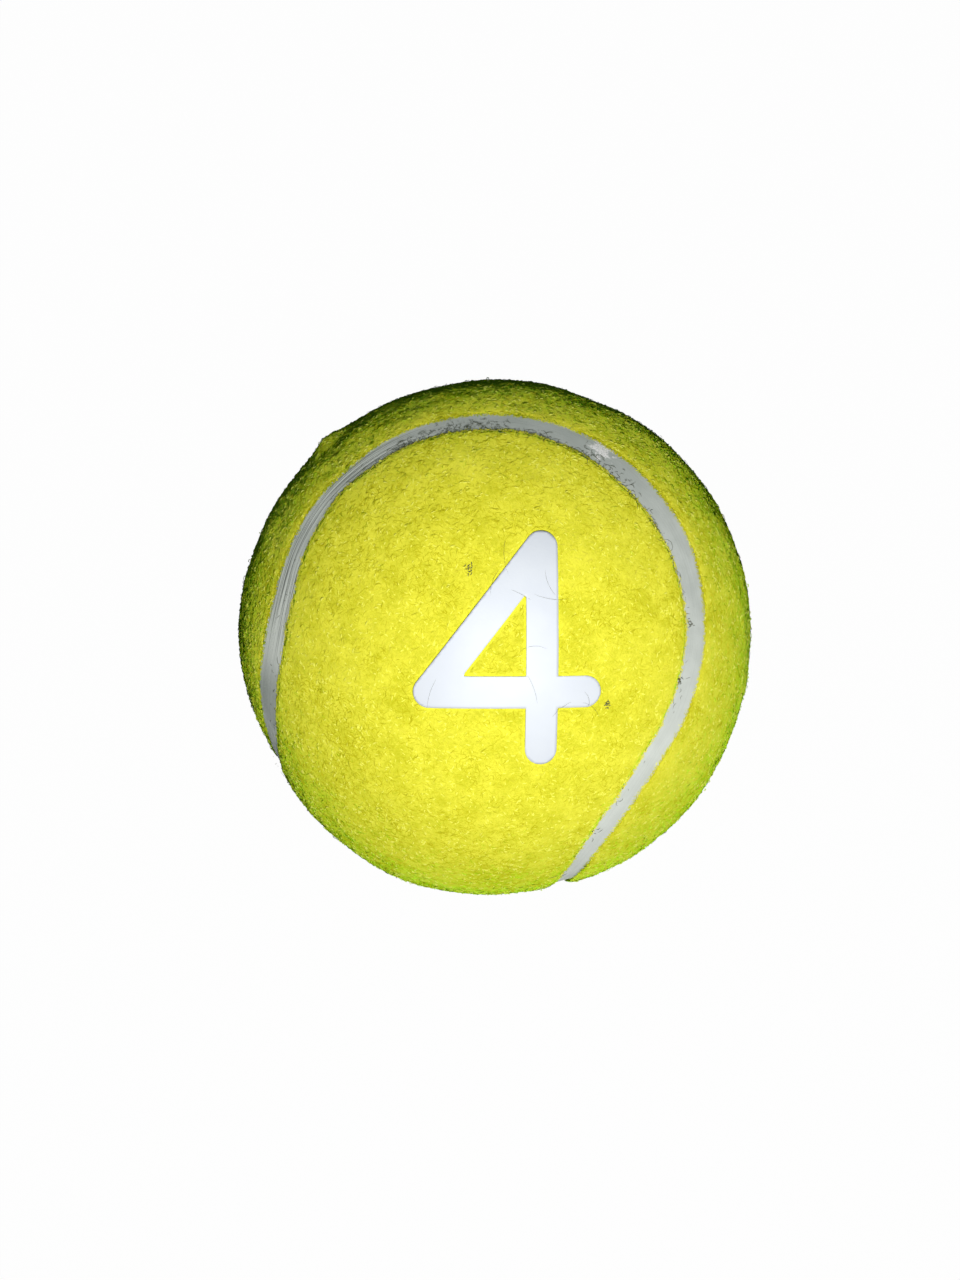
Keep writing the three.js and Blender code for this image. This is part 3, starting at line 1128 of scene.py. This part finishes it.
def core_finish():
    rubber = Finish("core_rubber", Roughness=0.8)
    bloom = rubber.noise(6 * MM, 4.0)
    tone = rubber.blend(bloom.ramp(0.4, 0.7), (0.025, 0.025, 0.024, 1), (0.06, 0.06, 0.055, 1))
    return rubber.wear(Base_Color=tone, Normal=rubber.relief(rubber.noise(0.4 * MM), 0.05 * MM))


def cement_finish():
    cement = Finish("cement", Roughness=0.55)
    brush = cement.noise(1.5 * MM, 4.0)
    tone = cement.blend(brush.ramp(0.3, 0.7), (0.42, 0.34, 0.18, 1), (0.55, 0.47, 0.28, 1))
    return cement.wear(Base_Color=tone, Normal=cement.relief(brush, 0.1 * MM))


INNER = {
    core_finish(): ("core_half_a", "core_half_b"),
    cement_finish(): ("core_joint_cement", "panel_cement_a", "panel_cement_b"),
}
for finish, names in INNER.items():
    for name in names:
        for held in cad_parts[name].material_slots:
            held.material = finish
    print(finish.name, "on", ", ".join(names))

# %% [markdown]
# ## Cloth facts
#
# Each felt panel is a sheet of cloth, stretched over the core from a flat dumbbell blank. Its
# flat size follows from the lobes: it is as wide as a lobe and as long as the way from the far
# edge of one lobe over the waist to the far edge of the other.

MIDDLE_RADIUS = (BALL_RADIUS + FELT_BACK_RADIUS) / 2
panel_width = 2 * ARC_RADIUS * MIDDLE_RADIUS
panel_length = (math.pi + 2 * math.radians(LOBE_TILT) + 2 * ARC_RADIUS) * MIDDLE_RADIUS
on_first = seam_side(unit(grid_way[grid_quads].mean(axis=1))) > SEAM_WIDTH / 2
panel_area = 4 * math.pi * MIDDLE_RADIUS ** 2 * on_first.mean()
print(f"blank {panel_width / MM:.1f} x {panel_length / MM:.1f} mm,",
      f"{panel_area / MM ** 2:.0f} mm2")

# %% [markdown]
# ## Camera
#
# The camera stands where the photograph's did: so close that the near lobe looks large, and
# looking down at the ball. Turning it would put the ball off the picture's centre but stretch
# its outline, so a small shift of the lens does that instead.

# %% Camera
def aimed(data, direction, distance):
    """A camera or a lamp that looks at the ball's centre from a direction."""
    held = bpy.data.objects.new(data.name, data)
    bpy.context.scene.collection.objects.link(held)
    held.location = direction * distance
    held.rotation_euler = (-direction).to_track_quat("-Z", "Y").to_euler()
    return held


camera = aimed(bpy.data.cameras.new("camera"), Vector(VIEW_BACK), CAMERA_DISTANCE)
bpy.context.scene.camera = camera
camera.data.sensor_width = 36
camera.data.lens = camera.data.sensor_width * FOCAL_PIXELS / IMAGE_HEIGHT
camera.data.shift_x = (IMAGE_WIDTH / 2 - CENTRE_X) / IMAGE_HEIGHT
camera.data.shift_y = (CENTRE_Y - IMAGE_HEIGHT / 2) / IMAGE_HEIGHT
camera.data.clip_start = 0.005
print(f"lens {camera.data.lens:.1f} mm at {CAMERA_DISTANCE / MM:.0f} mm")

# %% [markdown]
# ## Light
#
# The photograph has one strong light close to the lens, a little to the right of it and below,
# so the top left of the ball falls into shade. A small round lamp stands there. The world adds a
# faint greenish fill. Where the camera looks past the ball, the world is paper white, and that
# white lights nothing.

# %% Lamp and world
LAMP_RIGHT, LAMP_BELOW = 0.052, 0.113  # off the view's axis, as tangents
LAMP_DISTANCE, LAMP_SIZE = 3.7 * BALL_RADIUS, 0.02
LAMP_COLOUR = (1.0, 0.965, 0.95)
LAMP_LEVEL = 1.145  # 1 would render white as white at the ball's front

light = bpy.data.lights.new("key", "AREA")
light.energy = LAMP_LEVEL * (math.pi * (LAMP_DISTANCE - BALL_RADIUS)) ** 2
light.shape, light.size, light.color = "DISK", LAMP_SIZE, LAMP_COLOUR
lamp_way = unit(LAMP_RIGHT * VIEW_RIGHT - LAMP_BELOW * VIEW_UP + VIEW_BACK)
lamp = aimed(light, Vector(lamp_way), LAMP_DISTANCE)
lamp.visible_camera = False
print(f"{lamp.name}: {light.energy:.4f} W from {LAMP_DISTANCE / MM:.0f} mm")

world = bpy.data.worlds.new("studio")
bpy.context.scene.world = world
studio = Nodes(world)
fill = studio.node("Background", None, {"Color": (0.5, 1.0, 0.7, 1), "Strength": 0.04})
white = studio.node("Background", None, {"Color": (1, 1, 1, 1), "Strength": 1.0})
sky = studio.node("MixShader", None, {0: studio.seen(), 1: fill, 2: white})
studio.join(studio.tree.nodes["World Output"], {"Surface": sky})

# %% [markdown]
# ## Floor
#
# The ball lies on a plain white floor. The camera sees it mostly as paper white, with a share
# left for the light that really falls on it, so the ball's shadow shows.

# %% Floor
FLOOR_SIZE = 6.0
FLOOR_GAP = 0.02 * MM  # under the ball
FLOOR_GLOW = 0.985
FLOOR_COLOUR = (0.6, 0.6, 0.6, 1)


def floor_finish():
    paper = Finish("paper", Base_Color=FLOOR_COLOUR, Roughness=1.0, Specular_IOR_Level=0.0)
    glow = paper.node("Emission", None, {"Color": (1, 1, 1, 1), "Strength": 1.0})
    lit = Wire(paper, paper.surface.outputs[0])
    both = paper.node("MixShader", None, {0: paper.seen() * FLOOR_GLOW, 1: lit, 2: glow})
    paper.join(paper.tree.nodes["Material Output"], {"Surface": both})
    return paper.material


bpy.ops.mesh.primitive_plane_add(size=FLOOR_SIZE, location=(0, 0, cad_low.z - FLOOR_GAP))
floor = bpy.context.object
floor.name = "floor"
floor.data.materials.append(floor_finish())
print(f"floor at {floor.location.z / MM:.2f} mm")

# %% [markdown]
# ## View settings
#
# Colours are shown as written, with no film look.

# %% View settings
bpy.context.scene.view_settings.view_transform = "Standard"
